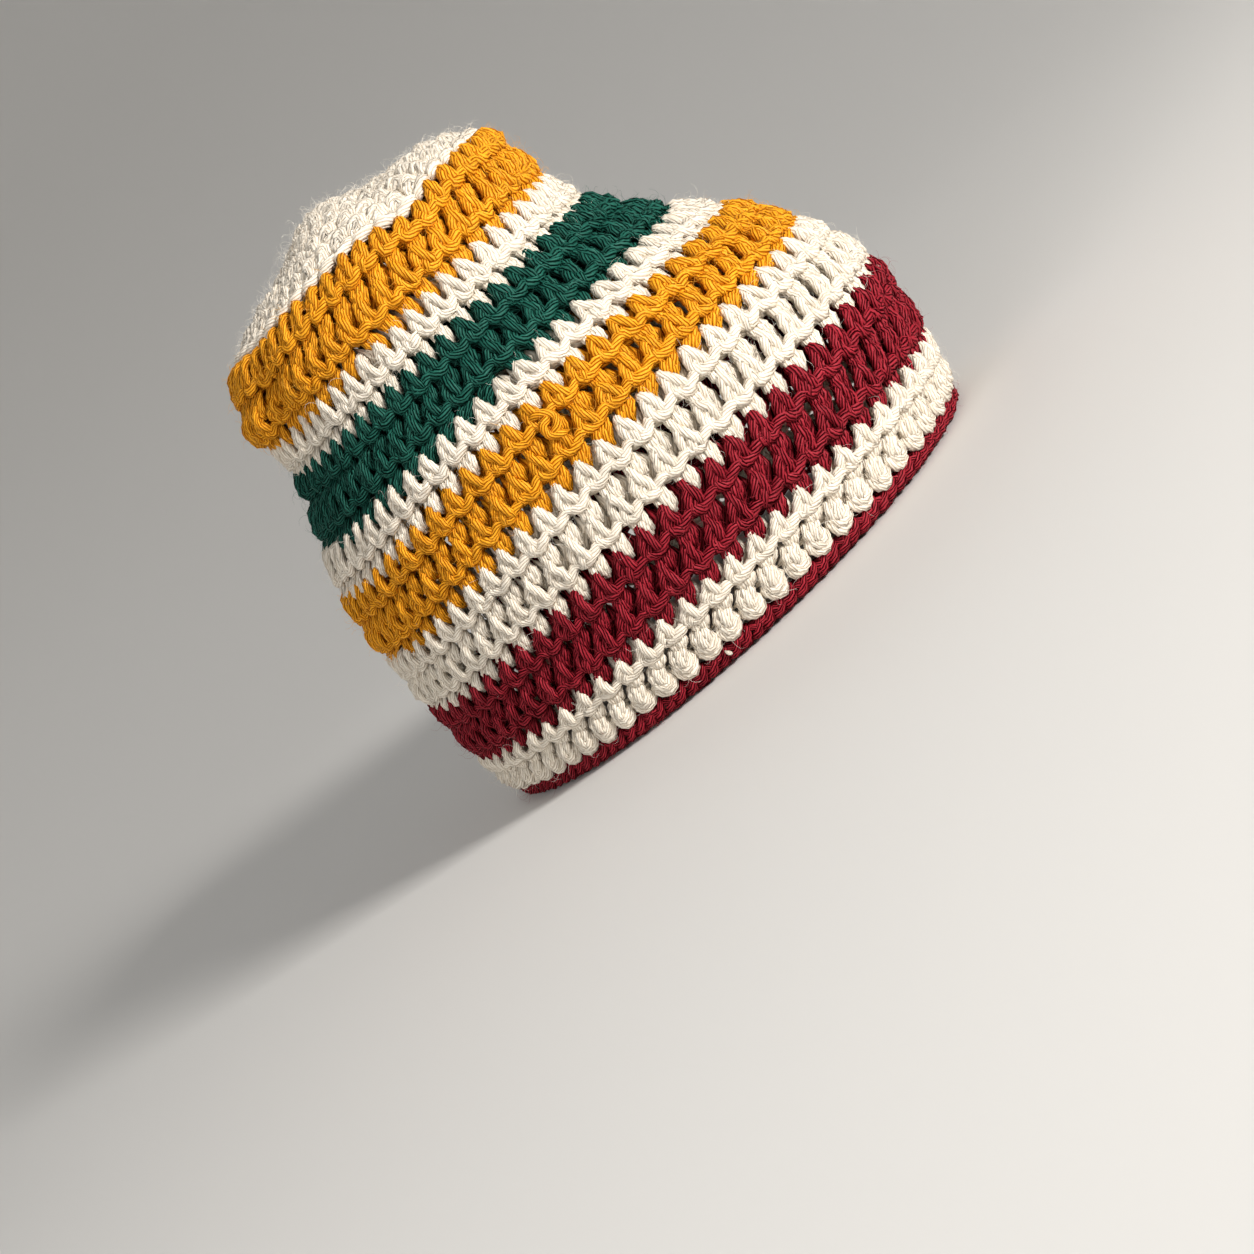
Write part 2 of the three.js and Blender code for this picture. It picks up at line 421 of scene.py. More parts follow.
def curveThrough(points, steps):
    # evenly numbered samples of a smooth curve through a strand's points, for every stitch at once
    points = np.asarray(points, float)
    ends = np.concatenate([points[:1] * 2 - points[1:2], points, points[-1:] * 2 - points[-2:-1]])
    at = np.linspace(0, len(points) - 1, steps)
    i = np.minimum(at.astype(int), len(points) - 2)
    t = (at - i)[:, None, None]
    a, b, c, d = (ends[i + k] for k in range(4))
    bend = 2 * a - 5 * b + 4 * c - d + t * (3 * b - a - 3 * c + d)
    return b + 0.5 * t * (c - a + t * bend)


class YarnPaths:
    # gathers the strands of one piece as chains of vertices
    def __init__(self):
        self.points, self.edges, self.outward = [], [], []
        self.thick, self.tint, self.phase = [], [], []
        self.count = 0

    def add(self, points, thick, outward):
        # points has one line of samples for each stitch: samples, stitches, xyz
        samples, strands = points.shape[:2]
        first = self.count + np.arange(strands) * samples
        steps = np.arange(samples - 1)
        starts = (first[:, None] + steps).ravel()
        self.points.append(points.transpose(1, 0, 2).reshape(-1, 3))
        self.outward.append(outward.transpose(1, 0, 2).reshape(-1, 3))
        self.thick.append(thick.T.ravel())
        self.edges.append(np.stack([starts, starts + 1], 1))
        self.tint.append(np.repeat(random.uniform(-1, 1, strands), samples))
        self.phase.append(np.repeat(random.uniform(0, tau, strands), samples))
        self.count += samples * strands

    def mesh(self, name):
        points = np.concatenate(self.points) * mm
        edges = np.concatenate(self.edges)
        mesh = bpy.data.meshes.new(name)
        mesh.vertices.add(len(points))
        mesh.vertices.foreach_set("co", points.ravel())
        mesh.edges.add(len(edges))
        mesh.edges.foreach_set("vertices", edges.ravel())
        for key, kind, values in (
            ("thick", "FLOAT", np.concatenate(self.thick)),
            ("tint", "FLOAT", np.concatenate(self.tint)),
            ("phase", "FLOAT", np.concatenate(self.phase)),
            ("outward", "FLOAT_VECTOR", np.concatenate(self.outward).ravel()),
        ):
            attribute = mesh.attributes.new(key, kind, "POINT")
            attribute.data.foreach_set("vector" if kind == "FLOAT_VECTOR" else "value", values)
        mesh.update()
        return mesh


# how much each point of a strand strays: in stitches, rows, millimetres, share of its thickness, stitches
jitter = {"across": 0.022, "up": 0.02, "out": 0.18, "thick": 0.06, "lean": 0.05}

# where the gap right of a finger lies and where a leg's foot stands, in stitches
legs = {"gap": 0.28, "gapInFront": 0.22, "foot": 0.0, "length": 0.5}

# how fingers change between the front and the back of the hat
fingers = {
    "upright": 0.28,  # stitches that the tips move to the right in front
    "hook": 0.24,  # stitches that the tips hook to the right behind
    "hookRows": (0.35, 0.85),
    "narrow": 0.04,  # share by which they are narrower in front
    "narrowRows": (0.1, 0.3),
    "fuller": 0.14,  # share by which strands are thicker in front and thinner behind
    "barFuller": 0.2,  # share by which bars are thicker in front
    "barRows": (0.12, 0.3),
}


def rowTurn(row, column):
    # the share of the round at a stitch column of a row, where each row drifts a little to the right
    counts = np.array(wallShape["stitches"][:row + 1])
    return column / counts[row] + wallShape["drift"] * np.sum(1 / counts)


def facingShare(row, place):
    # 1 for a stitch right in front and 0 for one right behind
    return 0.5 + 0.5 * np.cos(tau * rowTurn(row, place))


def gapBelow(row, turn):
    # how far the legs of a row's stitches reach sideways, to stand between the fingers of the row below
    place = np.arange(wallShape["stitches"][row - 1]) + 0.5
    gaps = rowTurn(row - 1, place + legs["gap"] + legs["gapInFront"] * facingShare(row - 1, place))
    away = (gaps[:, None] - turn + 0.5) % 1 - 0.5
    return away[np.argmin(np.abs(away), axis=0), np.arange(len(turn))]


def addRow(paths, stitch, row):
    # one row of stitches round the hat
    count = wallShape["stitches"][row]
    place = np.arange(count) + 0.5
    reach = gapBelow(row, rowTurn(row, place + legs["foot"])) if row > 1 else np.zeros(count)
    lean = random.normal(0, jitter["lean"], count)
    facing = facingShare(row, place)
    for strand in stitch["strands"].values():
        points = np.array(strand["path"], float)[:, None, :].repeat(count, 1)
        if "other" in strand:
            other = random.uniform(0, 1, count) < strand["share"]
            points[:, other] = np.array(strand["other"], float)[:, None, :]
        inner = slice(1, -1)
        shape = points[inner].shape[:2]
        points[inner, :, 0] += random.normal(0, jitter["across"], shape)
        points[inner, :, 1] += random.normal(0, jitter["up"], shape)
        points[inner, :, 2] += random.normal(0, jitter["out"], shape)
        points[inner, :, 3] *= 1 + random.normal(0, jitter["thick"], shape)
        samples = curveThrough(points, strand["steps"])
        across, up, out, thick = np.moveaxis(samples, -1, 0)
        # in front the fingers stand upright and rounder, behind their tips hook to the right
        if row > 1:
            across = across + (fingers["upright"] * facing + lean) * np.clip(up, 0, 1)
            across = across + fingers["hook"] * (1 - facing) * smoothStep(*fingers["hookRows"], up)
            offBar = smoothStep(*fingers["narrowRows"], np.abs(up))
            across = across * (1 - fingers["narrow"] * facing * offBar)
            onBar = 1 - smoothStep(*fingers["barRows"], np.abs(up))
            thick = thick * (1 + fingers["barFuller"] * facing * onBar)
        thick = thick * (1 + fingers["fuller"] * (2 * facing - 1))
        turn = rowTurn(row, place + across) + reach * np.clip(-up / legs["length"], 0, 1)
        at, normal = onWall(row + stitch["barPlace"] + up, turn, out)
        paths.add(at, np.clip(thick, 0, None), normal)


# Small details: a fuzzy knot in the lower gold stripe and a fleck of cream caught in the rim

details = {
    "knot": {
        "row": 8.3, "turn": 0.76, "steps": 24,
        "strands": [
            [
                (-0.32, 0.36, 0.4, 0.0), (-0.12, 0.46, 2.8, 0.9), (0.20, 0.34, 3.6, 1.0),
                (0.34, 0.10, 3.1, 1.0), (0.14, -0.12, 3.6, 1.0), (-0.12, -0.20, 2.8, 0.9),
                (-0.22, -0.36, 0.4, 0.0),
            ],
            [
                (0.36, 0.42, 0.4, 0.0), (0.18, 0.22, 3.0, 0.9), (-0.14, 0.12, 3.8, 1.0),
                (-0.26, -0.14, 3.2, 1.0), (0.02, -0.34, 3.2, 0.9), (0.30, -0.42, 0.4, 0.0),
            ],
        ],
    },
    "fleck": {
        "row": 0.55, "turn": 0.738, "steps": 8,
        "strands": [
            [
                (-0.08, 0.14, 1.0, 0.0), (0.0, 0.06, 3.0, 0.45), (0.06, -0.04, 3.3, 0.5),
                (0.08, -0.16, 1.4, 0.0),
            ],
        ],
    },
}


def addDetail(paths, detail):
    pitch = 1 / wallShape["stitches"][int(detail["row"])]
    for strand in detail["strands"]:
        samples = curveThrough(np.array(strand)[:, None, :], detail["steps"])
        across, up, out, thick = np.moveaxis(samples, -1, 0)
        at, normal = onWall(detail["row"] + up, detail["turn"] + across * pitch, out)
        paths.add(at, np.clip(thick, 0, None), normal)


# Sweeping the yarn: Geometry Nodes turns the paths into plied strands and sets loose fibres on them

yarnSizes = {
    # inputs of the node tree, in metres, with the fuzz in fibres for each square metre
    "Yarn radius": 1.45 * mm,
    "Twist length": 18 * mm,
    "Ply depth": 0.04,
    "Sides": 6,
    "Fuzz density": 40000.0,
    "Fuzz length": 5.0 * mm,
    "Fuzz radius": 0.010,  # share of a fibre's length
    "Seed": 7,
}

fuzzShape = {
    "outside": 0.3,  # roots stand where the surface faces out at least this much
    "shortest": 0.35,  # share of the longest fibre
    "taper": 0.6,  # share of its radius that a fibre loses to its tip
    "lean": 0.9,  # radians that a fibre tilts at most
    "root": (0, 0, -0.08),
    # start handle, end handle and end of each shape of fibre, in fibre lengths
    "curls": [
        ((0.0, 0.1, 0.5), (0.5, 0.0, 0.9), (0.95, 0.25, 0.55)),
        ((0.1, 0.0, 0.6), (-0.5, 0.3, 1.0), (-0.3, 0.9, 0.35)),
    ],
}


def addNode(tree, kind, inputs=(), **settings):
    node = tree.nodes.new(kind)
    for key, value in settings.items():
        setattr(node, key, value)
    for key, value in dict(inputs).items():
        socket = node.inputs[key]
        if isinstance(value, bpy.types.NodeSocket):
            tree.links.new(value, socket)
        else:
            socket.default_value = value
    return node


def mathNode(tree, operation, a, b=None):
    node = addNode(tree, "ShaderNodeMath", {0: a}, operation=operation)
    if isinstance(b, bpy.types.NodeSocket):
        tree.links.new(b, node.inputs[1])
    elif b is not None:
        node.inputs[1].default_value = b
    return node.outputs[0]


def enabledSocket(sockets, name):
    return next(s for s in sockets if s.enabled and s.name == name)


def namedValue(tree, name, kind="FLOAT"):
    node = addNode(tree, "GeometryNodeInputNamedAttribute", {"Name": name}, data_type=kind)
    return enabledSocket(node.outputs, "Attribute")


def buildYarnTree():
    tree = bpy.data.node_groups.new("yarnSweep", "GeometryNodeTree")
    face = tree.interface
    face.new_socket("Geometry", in_out="INPUT", socket_type="NodeSocketGeometry")
    for name, value in yarnSizes.items():
        kind = "NodeSocketInt" if isinstance(value, int) else "NodeSocketFloat"
        face.new_socket(name, in_out="INPUT", socket_type=kind)
    face.new_socket("Yarn finish", in_out="INPUT", socket_type="NodeSocketMaterial")
    face.new_socket("Fuzz finish", in_out="INPUT", socket_type="NodeSocketMaterial")
    face.new_socket("Geometry", in_out="OUTPUT", socket_type="NodeSocketGeometry")
    given = tree.nodes.new("NodeGroupInput").outputs
    result = tree.nodes.new("NodeGroupOutput").inputs

    # the strand: a path with its twist, swept by a round section with a low ridge for each ply
    curve = addNode(tree, "GeometryNodeMeshToCurve", {"Mesh": given["Geometry"]})
    spline = tree.nodes.new("GeometryNodeSplineParameter")
    turns = mathNode(tree, "DIVIDE", spline.outputs["Length"], given["Twist length"])
    tilt = mathNode(tree, "ADD", mathNode(tree, "MULTIPLY", turns, tau), namedValue(tree, "phase"))
    twisted = addNode(tree, "GeometryNodeSetCurveTilt", {"Curve": curve.outputs[0], "Tilt": tilt})
    measured = addNode(
        tree, "GeometryNodeStoreNamedAttribute",
        {"Geometry": twisted.outputs[0], "Name": "along", "Value": spline.outputs["Length"]},
    )
    circle = addNode(
        tree, "GeometryNodeCurvePrimitiveCircle", {"Resolution": given["Sides"], "Radius": 1.0}
    )
    index = tree.nodes.new("GeometryNodeInputIndex").outputs[0]
    around = mathNode(tree, "DIVIDE", index, given["Sides"])
    ridge = mathNode(tree, "COSINE", mathNode(tree, "MULTIPLY", index, pi))
    swell = mathNode(tree, "ADD", mathNode(tree, "MULTIPLY", ridge, given["Ply depth"]), 1.0)
    position = tree.nodes.new("GeometryNodeInputPosition").outputs[0]
    grown = addNode(tree, "ShaderNodeVectorMath", {0: position}, operation="SCALE")
    tree.links.new(swell, grown.inputs["Scale"])
    lobed = addNode(
        tree, "GeometryNodeSetPosition", {"Geometry": circle.outputs[0], "Position": grown.outputs[0]}
    )
    section = addNode(
        tree, "GeometryNodeStoreNamedAttribute",
        {"Geometry": lobed.outputs[0], "Name": "around", "Value": around},
    )
    width = mathNode(tree, "MULTIPLY", namedValue(tree, "thick"), given["Yarn radius"])
    swept = addNode(
        tree, "GeometryNodeCurveToMesh",
        {"Curve": measured.outputs[0], "Profile Curve": section.outputs[0], "Scale": width},
    )

    # the yarn's own map: along its length, and round it once without a jump at the join
    turn = namedValue(tree, "around")
    mean = addNode(tree, "GeometryNodeFieldOnDomain", {0: turn}, domain="FACE").outputs[0]
    behind = mathNode(tree, "LESS_THAN", turn, mathNode(tree, "SUBTRACT", mean, 0.25))
    full = mathNode(tree, "ADD", turn, behind)
    place = addNode(tree, "ShaderNodeCombineXYZ", {0: namedValue(tree, "along"), 1: full})
    mapped = addNode(
        tree, "GeometryNodeStoreNamedAttribute",
        {"Geometry": swept.outputs[0], "Name": "UVMap"}, data_type="FLOAT2", domain="CORNER",
    )
    tree.links.new(place.outputs[0], enabledSocket(mapped.inputs, "Value"))
    closed = addNode(
        tree, "GeometryNodeMergeByDistance", {"Geometry": mapped.outputs[0], "Distance": 1e-7}
    )
    yarn = addNode(
        tree, "GeometryNodeSetMaterial",
        {"Geometry": closed.outputs[0], "Material": given["Yarn finish"]},
    )

    # loose fibres on the outer side of the strands
    normal = tree.nodes.new("GeometryNodeInputNormal").outputs[0]
    facing = addNode(tree, "ShaderNodeVectorMath", {0: normal}, operation="DOT_PRODUCT")
    tree.links.new(namedValue(tree, "outward", "FLOAT_VECTOR"), facing.inputs[1])
    outside = mathNode(tree, "GREATER_THAN", facing.outputs["Value"], fuzzShape["outside"])
    roots = addNode(
        tree, "GeometryNodeDistributePointsOnFaces",
        {"Mesh": closed.outputs[0], "Selection": outside, "Seed": given["Seed"]},
    )
    tree.links.new(given["Fuzz density"], enabledSocket(roots.inputs, "Density"))
    ring = addNode(
        tree, "GeometryNodeCurvePrimitiveCircle", {"Resolution": 3, "Radius": given["Fuzz radius"]}
    )
    factor = tree.nodes.new("GeometryNodeSplineParameter").outputs["Factor"]
    lost = mathNode(tree, "MULTIPLY", factor, fuzzShape["taper"])
    taper = mathNode(tree, "SUBTRACT", 1.0, lost)
    choice = tree.nodes.new("GeometryNodeGeometryToInstance")
    for startHandle, endHandle, end in reversed(fuzzShape["curls"]):
        hair = addNode(
            tree, "GeometryNodeCurvePrimitiveBezierSegment",
            {"Resolution": 5, "Start": fuzzShape["root"], "Start Handle": startHandle,
             "End Handle": endHandle, "End": end},
        )
        solid = addNode(
            tree, "GeometryNodeCurveToMesh",
            {"Curve": hair.outputs[0], "Profile Curve": ring.outputs[0], "Scale": taper, "Fill Caps": True},
        )
        tree.links.new(solid.outputs[0], choice.inputs[0])
    lean = addNode(tree, "FunctionNodeRandomValue", {"Seed": given["Seed"]}, data_type="FLOAT_VECTOR")
    lean.inputs[0].default_value = (-fuzzShape["lean"], -fuzzShape["lean"], -pi)
    lean.inputs[1].default_value = (fuzzShape["lean"], fuzzShape["lean"], pi)
    leaning = addNode(tree, "FunctionNodeEulerToRotation", {0: lean.outputs[0]})
    turned = addNode(
        tree, "FunctionNodeRotateRotation",
        {"Rotation": roots.outputs["Rotation"], "Rotate By": leaning.outputs[0]}, rotation_space="LOCAL",
    )
    size = addNode(tree, "FunctionNodeRandomValue", {"Seed": given["Seed"]}, data_type="FLOAT")
    shortest = mathNode(tree, "MULTIPLY", given["Fuzz length"], fuzzShape["shortest"])
    tree.links.new(shortest, enabledSocket(size.inputs, "Min"))
    tree.links.new(given["Fuzz length"], enabledSocket(size.inputs, "Max"))
    length = enabledSocket(size.outputs, "Value")
    hairs = addNode(
        tree, "GeometryNodeInstanceOnPoints",
        {"Points": roots.outputs["Points"], "Instance": choice.outputs[0], "Pick Instance": True,
         "Rotation": turned.outputs[0], "Scale": length},
    )
    fuzz = addNode(
        tree, "GeometryNodeSetMaterial",
        {"Geometry": hairs.outputs[0], "Material": given["Fuzz finish"]},
    )
    joined = tree.nodes.new("GeometryNodeJoinGeometry")
    for part in (fuzz, yarn):
        tree.links.new(part.outputs[0], joined.inputs[0])
    real = addNode(tree, "GeometryNodeRealizeInstances", {"Geometry": joined.outputs[0]})
    smooth = addNode(tree, "GeometryNodeSetShadeSmooth", {"Geometry": real.outputs[0]})
    tree.links.new(smooth.outputs[0], result[0])
    return tree


yarnTree = buildYarnTree()
print("yarn tree ready")


# Finishes

yarnColours = {
    # the yarn's own colour on the ridges of its fine strands, a darker colour painted into the grooves
    # between them as painted shade, the colour of its loose fibres, and how wide that painted groove shade
    # is
    "maroon": {
        "ridge": (0.40, 0.016, 0.032),
        "paintedGrooveShade": (0.016, 0.0003, 0.001),
        "fuzz": (0.30, 0.02, 0.035),
        "paintedShadeWidth": 3.2,
    },
    "cream": {
        "ridge": (0.93, 0.86, 0.745),
        "paintedGrooveShade": (0.66, 0.55, 0.42),
        "fuzz": (0.92, 0.88, 0.8),
        "paintedShadeWidth": 1.4,
    },
    "gold": {
        "ridge": (1.0, 0.45, 0.016),
        "paintedGrooveShade": (0.36, 0.085, 0.0005),
        "fuzz": (0.85, 0.45, 0.08),
        "paintedShadeWidth": 2.3,
    },
    "green": {
        "ridge": (0.012, 0.128, 0.092),
        "paintedGrooveShade": (0.0004, 0.004, 0.003),
        "fuzz": (0.03, 0.14, 0.11),
        "paintedShadeWidth": 3.4,
    },
}

yarnFinish = {
    "lines": 9,  # fine strands seen round the yarn
    "fibreLength": 110.0,  # changes along the yarn for each metre
    "fibreFineness": 20.0,  # fibres round the yarn
    "fibreWobble": 2.0,  # how far fibres bend the fine strands' lines
    "fibreHeight": 0.5,  # height of a fibre beside a fine strand's
    "roundness": 0.6,  # below 1 for broad ridges and narrow grooves
    "bump": 0.3 * mm,
    "plain": 0.7,  # share of the ridge colour that fibres leave alone
    "strandChange": 0.07,  # change of brightness from strand to strand
    "roughness": (0.72, 0.48),
    "shine": 0.3,
    "sheen": 0.05,
    "sheenRoughness": 0.4,
    "fuzzRoughness": 0.6,
    "fuzzNoise": 300.0,
}


def yarnMaterial(name):
    colours = yarnColours[name]
    material = bpy.data.materials.new(name + "Yarn")
    material.use_nodes = True
    tree = material.node_tree
    shader = tree.nodes["Principled BSDF"]
    uv = addNode(tree, "ShaderNodeUVMap", uv_map="UVMap")
    parts = addNode(tree, "ShaderNodeSeparateXYZ", {0: uv.outputs[0]})
    along, around = parts.outputs[0], parts.outputs[1]
    tint = addNode(tree, "ShaderNodeAttribute", attribute_name="tint").outputs["Fac"]
    seed = mathNode(tree, "MULTIPLY", tint, 40.0)
    place = addNode(
        tree, "ShaderNodeCombineXYZ",
        {0: mathNode(tree, "MULTIPLY", along, yarnFinish["fibreLength"]),
         1: mathNode(tree, "MULTIPLY", around, yarnFinish["fibreFineness"]), 2: seed},
    )
    fibres = addNode(
        tree, "ShaderNodeTexNoise",
        {"Vector": place.outputs[0], "Scale": 1.0, "Detail": 2.0, "Roughness": 0.6},
    ).outputs[0]
    wobble = mathNode(tree, "MULTIPLY", fibres, yarnFinish["fibreWobble"])
    line = mathNode(tree, "MULTIPLY", around, pi * yarnFinish["lines"])
    wave = mathNode(tree, "ABSOLUTE", mathNode(tree, "SINE", mathNode(tree, "ADD", line, wobble)))
    lineHeight = mathNode(tree, "POWER", wave, yarnFinish["roundness"])
    raised = mathNode(tree, "MULTIPLY", fibres, yarnFinish["fibreHeight"])
    height = mathNode(tree, "ADD", lineHeight, raised)
    bump = addNode(
        tree, "ShaderNodeBump", {"Height": height, "Strength": 1.0, "Distance": yarnFinish["bump"]}
    )
    tree.links.new(bump.outputs[0], shader.inputs["Normal"])

    # colour: painted shade in the grooves, uneven from fibre to fibre and a little from strand to strand
    spread = addNode(tree, "ShaderNodeMapRange", {"Value": fibres, "From Min": 0.3, "From Max": 0.7})
    changing = mathNode(tree, "MULTIPLY", spread.outputs[0], 1 - yarnFinish["plain"])
    # share of the yarn's own ridge colour; the rest is the painted shade colour of the grooves
    share = mathNode(
        tree, "MULTIPLY", mathNode(tree, "POWER", lineHeight, colours["paintedShadeWidth"]),
        mathNode(tree, "ADD", yarnFinish["plain"], changing),
    )
    mix = addNode(
        tree, "ShaderNodeMix",
        {"Factor": share, 6: (*colours["paintedGrooveShade"], 1), 7: (*colours["ridge"], 1)}, data_type="RGBA",
    )
    value = mathNode(tree, "ADD", mathNode(tree, "MULTIPLY", tint, yarnFinish["strandChange"]), 1.0)
    tinted = addNode(tree, "ShaderNodeHueSaturation", {"Value": value, "Color": mix.outputs[2]})
    tree.links.new(tinted.outputs[0], shader.inputs["Base Color"])
    dull, smooth = yarnFinish["roughness"]
    rough = addNode(tree, "ShaderNodeMapRange", {"Value": fibres, "To Min": dull, "To Max": smooth})
    tree.links.new(rough.outputs[0], shader.inputs["Roughness"])
    shine = mathNode(tree, "MULTIPLY", share, yarnFinish["shine"])
    tree.links.new(shine, shader.inputs["Specular IOR Level"])
    shader.inputs["Sheen Weight"].default_value = yarnFinish["sheen"]
    shader.inputs["Sheen Roughness"].default_value = yarnFinish["sheenRoughness"]
    shader.inputs["Sheen Tint"].default_value = (*colours["fuzz"], 1)
    return material


def fuzzMaterial(name):
    colours = yarnColours[name]
    material = bpy.data.materials.new(name + "Fuzz")
    material.use_nodes = True
    tree = material.node_tree
    shader = tree.nodes["Principled BSDF"]
    where = tree.nodes.new("ShaderNodeTexCoord").outputs["Object"]
    noise = addNode(
        tree, "ShaderNodeTexNoise", {"Vector": where, "Scale": yarnFinish["fuzzNoise"]}
    ).outputs[0]
    mix = addNode(
        tree, "ShaderNodeMix",
        {"Factor": noise, 6: (*colours["ridge"], 1), 7: (*colours["fuzz"], 1)}, data_type="RGBA",
    )
    tree.links.new(mix.outputs[2], shader.inputs["Base Color"])
    shader.inputs["Roughness"].default_value = yarnFinish["fuzzRoughness"]
    return material


finishes = {name: (yarnMaterial(name), fuzzMaterial(name)) for name in yarnColours}


# Pieces: one for each stripe, standing for its CAD node

stripes = [
    {"name": "edgeYarn", "node": "rim_edge", "colour": "maroon", "rows": [0], "stitch": edgePaths},
    {
        "name": "lowestCreamYarn", "node": "cream_lowest", "colour": "cream", "rows": [1, 2],
        "detail": "fleck",
    },
    {"name": "maroonBandYarn", "node": "maroon_band", "colour": "maroon", "rows": [3, 4]},
    {"name": "lowerCreamYarn", "node": "cream_lower", "colour": "cream", "rows": [5, 6]},
    {
        "name": "lowerGoldYarn", "node": "gold_lower", "colour": "gold", "rows": [7, 8],
        "detail": "knot",
    },
    {"name": "middleCreamYarn", "node": "cream_middle", "colour": "cream", "rows": [9]},
    {"name": "greenBandYarn", "node": "green_band", "colour": "green", "rows": [10, 11]},
    {"name": "upperCreamYarn", "node": "cream_upper", "colour": "cream", "rows": [12]},
    {
        "name": "upperGoldYarn", "node": "gold_upper", "colour": "gold", "rows": [13, 14],
        "fuzz": 1.3,
    },
    {
        "name": "crownYarn", "node": "crown_top", "colour": "cream",
        "rows": list(range(15, lastRow)), "stitch": crownPaths, "fuzz": 1.9,
    },
]


def sweepYarn(name, paths, colour, fuzz):
    # fuzz is how many times as dense the loose fibres are as usual
    piece = bpy.data.objects.new(name, paths.mesh(name))
    bpy.context.collection.objects.link(piece)
    modifier = piece.modifiers.new("yarnSweep", "NODES")
    modifier.node_group = yarnTree
    identifiers = {s.name: s.identifier for s in yarnTree.interface.items_tree if s.in_out == "INPUT"}
    for key, value in yarnSizes.items():
        modifier[identifiers[key]] = value
    modifier[identifiers["Fuzz density"]] *= fuzz
    modifier[identifiers["Yarn finish"]] = finishes[colour][0]
    modifier[identifiers["Fuzz finish"]] = finishes[colour][1]
    seen = piece.evaluated_get(bpy.context.evaluated_depsgraph_get())
    mesh = bpy.data.meshes.new_from_object(seen)
    piece.modifiers.clear()
    piece.data = mesh
    return piece


def keepAboveFloor(piece, lowest):
    # nothing reaches under the surface that the rim rests on
    spots = np.empty(len(piece.data.vertices) * 3)
    piece.data.vertices.foreach_get("co", spots)
    spots = spots.reshape(-1, 3)
    spots[:, 2] = np.maximum(spots[:, 2], lowest)
    piece.data.vertices.foreach_set("co", spots.ravel())
    piece.data.update()


for stripe in stripes:
    paths = YarnPaths()
    for row in stripe["rows"]:
        addRow(paths, bumpPaths if row == 1 else stripe.get("stitch", stitchPaths), row)
    if "detail" in stripe:
        addDetail(paths, details[stripe["detail"]])
    piece = sweepYarn(stripe["name"], paths, stripe["colour"], stripe.get("fuzz", 1))
    keepAboveFloor(piece, 0.0)
    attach(piece, "root")
    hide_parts(stripe["node"])
    piece.data.calc_loop_triangles()
    print(stripe["name"], len(piece.data.loop_triangles), "triangles")


# Camera, floor and light

view = {
    "distance": 800 * mm,
    "elevation": 10.3,  # degrees above the horizon, from the wearer's right
    "roll": 43.27,
    "target": (0, 37.3 * mm, 17 * mm),
    "lens": 70.2,
}


def addCamera():
    rise, roll = radians(view["elevation"]), radians(view["roll"])
    forward = Vector((cos(rise), 0, -sin(rise)))
    side = forward.cross(Vector((0, 0, 1))).normalized()
    up = side.cross(forward)
    across = side * cos(roll) - up * sin(roll)
    top = side * sin(roll) + up * cos(roll)
    at = Vector(view["target"]) - forward * view["distance"]
    data = bpy.data.cameras.new("camera")
    data.lens = view["lens"]
    data.sensor_width = 36
    data.clip_start = 0.01
    camera = bpy.data.objects.new("camera", data)
    camera.matrix_world = Matrix.Translation(at) @ Matrix((across, top, -forward)).transposed().to_4x4()
    bpy.context.collection.objects.link(camera)
    bpy.context.scene.camera = camera


# a flat round that sweeps up all round, in metres
floorShape = {
    "flat": 0.5,
    "curve": 2.4,
    "height": 3.4,
    "sides": 96,
    "bends": 25,
    "colour": (0.70, 0.69, 0.67, 1),
    "roughness": 0.85,
}


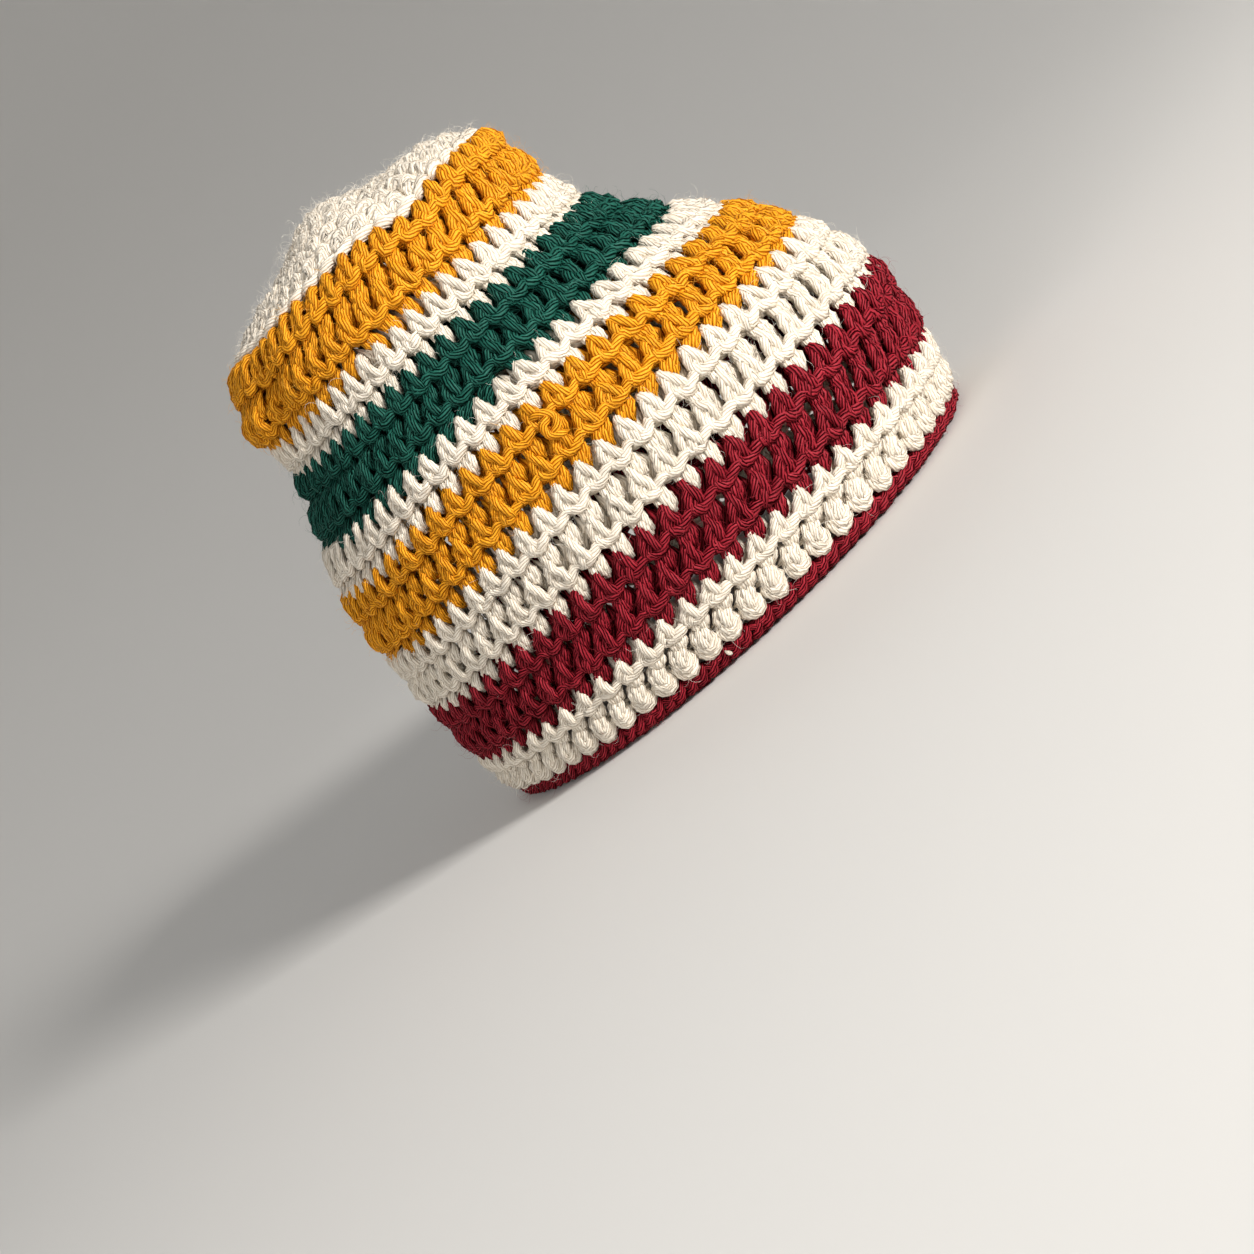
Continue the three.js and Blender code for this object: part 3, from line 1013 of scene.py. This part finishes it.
def addFloor():
    bend = np.linspace(0, pi / 2, floorShape["bends"])
    reach = np.concatenate([[0.0], floorShape["flat"] + floorShape["curve"] * np.sin(bend), [0.0]])
    rise = np.concatenate([[0.0], floorShape["curve"] * (1 - np.cos(bend)), [0.0]])
    reach[-1], rise[-1] = reach[-2], floorShape["height"]
    turns = np.linspace(0, tau, floorShape["sides"], endpoint=False)
    corners = [(0.0, 0.0, 0.0)]
    for r, z in zip(reach[1:], rise[1:]):
        corners += [(r * cos(a), r * sin(a), z) for a in turns]
    sides = floorShape["sides"]
    faces = [(0, 1 + i, 1 + (i + 1) % sides) for i in range(sides)]
    for ring in range(len(reach) - 2):
        first = 1 + ring * sides
        for i in range(sides):
            j = (i + 1) % sides
            faces.append((first + i, first + sides + i, first + sides + j, first + j))
    mesh = bpy.data.meshes.new("floor")
    mesh.from_pydata(corners, [], faces)
    mesh.shade_smooth()
    floor = bpy.data.objects.new("floor", mesh)
    bpy.context.collection.objects.link(floor)
    material = bpy.data.materials.new("paleFloor")
    material.use_nodes = True
    shader = material.node_tree.nodes["Principled BSDF"]
    shader.inputs["Base Color"].default_value = floorShape["colour"]
    shader.inputs["Roughness"].default_value = floorShape["roughness"]
    floor.data.materials.append(material)


# soft light from the front and above, in watts and metres
lights = {
    "aim": (0, 0, 0.09),
    "world": 0.23,
    "areas": [
        {"name": "key", "at": (-1.0, -0.85, 0.60), "power": 24, "size": 0.3, "colour": (1, 0.97, 0.93)},
        {"name": "fill", "at": (-1.1, 0.9, 0.6), "power": 6.5, "size": 0.9, "colour": (1, 1, 1)},
        {"name": "rimLight", "at": (0.8, 0.3, 1.2), "power": 1.5, "size": 0.5, "colour": (1, 1, 1)},
    ],
    "overhead": {"name": "overhead", "at": (0, 0, 2.4), "power": 5, "radius": 0.5},
}


def addLight(name, at, power, size, colour):
    data = bpy.data.lights.new(name, "AREA")
    data.energy = power
    data.size = size
    data.color = colour
    light = bpy.data.objects.new(name, data)
    light.location = at
    aim = Vector(lights["aim"]) - light.location
    light.rotation_euler = aim.to_track_quat("-Z", "Y").to_euler()
    bpy.context.collection.objects.link(light)


def addLamp(name, at, power, radius):
    data = bpy.data.lights.new(name, "POINT")
    data.energy = power
    data.shadow_soft_size = radius
    lamp = bpy.data.objects.new(name, data)
    lamp.location = at
    bpy.context.collection.objects.link(lamp)


def addWorld():
    world = bpy.data.worlds.new("studio")
    bpy.context.scene.world = world
    world.use_nodes = True
    background = world.node_tree.nodes["Background"]
    background.inputs["Color"].default_value = (1, 1, 1, 1)
    background.inputs["Strength"].default_value = lights["world"]


addCamera()
addFloor()
addWorld()
for area in lights["areas"]:
    addLight(**area)
addLamp(**lights["overhead"])
bpy.context.scene.view_settings.view_transform = "Standard"
print("camera, floor and lights ready")
